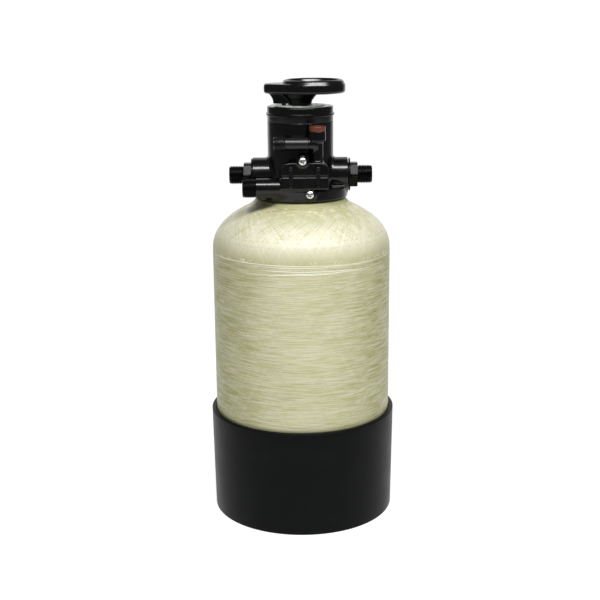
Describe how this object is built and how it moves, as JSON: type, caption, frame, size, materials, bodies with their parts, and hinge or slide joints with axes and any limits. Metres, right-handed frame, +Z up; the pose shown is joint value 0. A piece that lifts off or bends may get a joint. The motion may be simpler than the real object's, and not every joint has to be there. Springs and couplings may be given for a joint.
{
  "type": "water softener",
  "caption": "Manual water softener: pale wound fibreglass tank in a black boot, with a black rotary disc valve, threaded ports, drain and brine connector and a turning handle.",
  "frame": {"origin": "centre of the boot's underside, on the tank's centre line and on the floor", "axes": "+Z up along the tank's centre line, +X towards the outlet, -Y towards the front with the injector"},
  "size_m": [0.2146, 0.2146, 0.502],
  "materials": {
    "boot_plastic": "satin moulded plastic",
    "wound_glass_fibre": "resin-wetted glass strands",
    "liner_plastic": "blow-moulded",
    "pipe_plastic": "extruded",
    "basket_plastic": "moulded",
    "softening_resin": "fine beads",
    "gravel": "small washed stones",
    "seal_rubber": "moulded rubber",
    "valve_plastic": "glossy moulded plastic",
    "plate_film": "printed plate",
    "disc_ceramic": "lapped",
    "washer_plastic": "smooth",
    "nipple_plastic": "moulded plastic",
    "injector_plastic": "moulded plastic",
    "strainer_plastic": "fine moulded screen",
    "clip_plastic": "moulded plastic",
    "screw_steel": "bright steel",
    "cap_plastic": "red-brown moulded plastic",
    "handle_plastic": "glossy moulded plastic",
    "stem_brass": "turned"
  },
  "bodies": {
    "softener": {"tank_boot": "boot_plastic", "tank_shell": "wound_glass_fibre", "tank_liner": "liner_plastic", "riser_tube": "pipe_plastic", "bottom_distributor": "basket_plastic", "top_distributor": "basket_plastic", "resin_bed": "softening_resin", "gravel_bed": "gravel", "neck_o_ring": "seal_rubber", "riser_o_ring": "seal_rubber", "valve_body": "valve_plastic", "valve_cap": "valve_plastic", "cap_o_ring": "seal_rubber", "position_plate": "plate_film", "disc_seal": "seal_rubber", "fixed_disc": "disc_ceramic", "friction_washer": "washer_plastic", "inlet_nipple": "nipple_plastic", "outlet_nipple": "nipple_plastic", "inlet_gasket": "seal_rubber", "outlet_gasket": "seal_rubber", "drain_flow_control": "seal_rubber", "injector_housing": "valve_plastic", "injector_gasket": "seal_rubber", "injector_nozzle": "injector_plastic", "injector_throat": "injector_plastic", "brine_strainer": "strainer_plastic", "housing_clips": "clip_plastic", "pan_screws": "screw_steel", "column_cap": "cap_plastic", "column_cap_o_ring": "seal_rubber", "brine_connector": "valve_plastic", "brine_o_ring": "seal_rubber", "brine_flow_control": "seal_rubber"},
    "turning_handle": {"handle": "handle_plastic", "handle_screw": "screw_steel", "valve_stem": "stem_brass", "moving_disc": "disc_ceramic", "stem_o_rings": "seal_rubber"}
  },
  "joints": [
    {"name": "handle_turn", "type": "hinge", "parent": "softener", "child": "turning_handle", "pos_m": [0, 0, 0.48], "axis": [0, 0, 1], "continuous": true}
  ]
}
